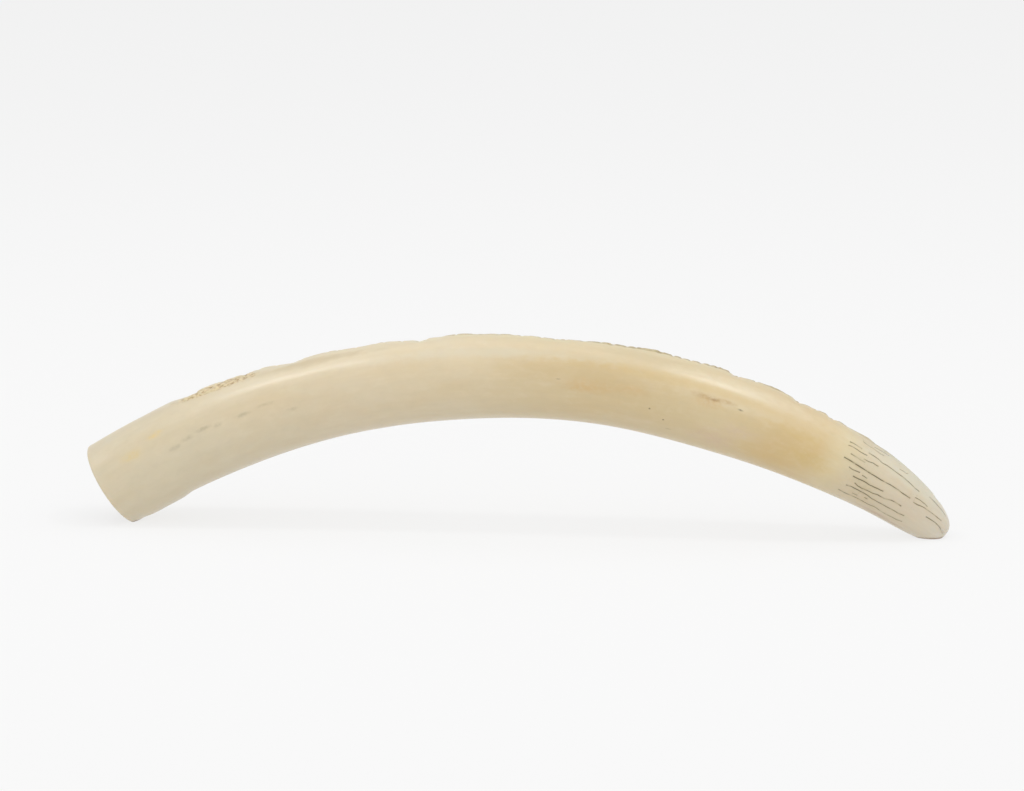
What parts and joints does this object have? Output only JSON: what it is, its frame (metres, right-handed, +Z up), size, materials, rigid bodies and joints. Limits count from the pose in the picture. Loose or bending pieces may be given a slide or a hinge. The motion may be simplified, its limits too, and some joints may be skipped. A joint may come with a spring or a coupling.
{
  "type": "carved ivory tusk",
  "caption": "Ivory tusk that stands as an arch on its cut end and tip, polished on one side and carved in low relief with leaves, flowers and a wavy stem on the other.",
  "frame": {"origin": "on the floor, under the middle of the tusk's bounding box, standing on its two feet", "axes": "+X from the cut end to the tip, +Y towards the carved side, +Z up; the plain side faces -Y"},
  "size_m": [0.6034, 0.0624, 0.1364],
  "materials": {
    "ivory": "polished ivory, honey and cream, brown in the hollows of the carving"
  },
  "bodies": {
    "root": {"tusk": "ivory"}
  },
  "joints": []
}
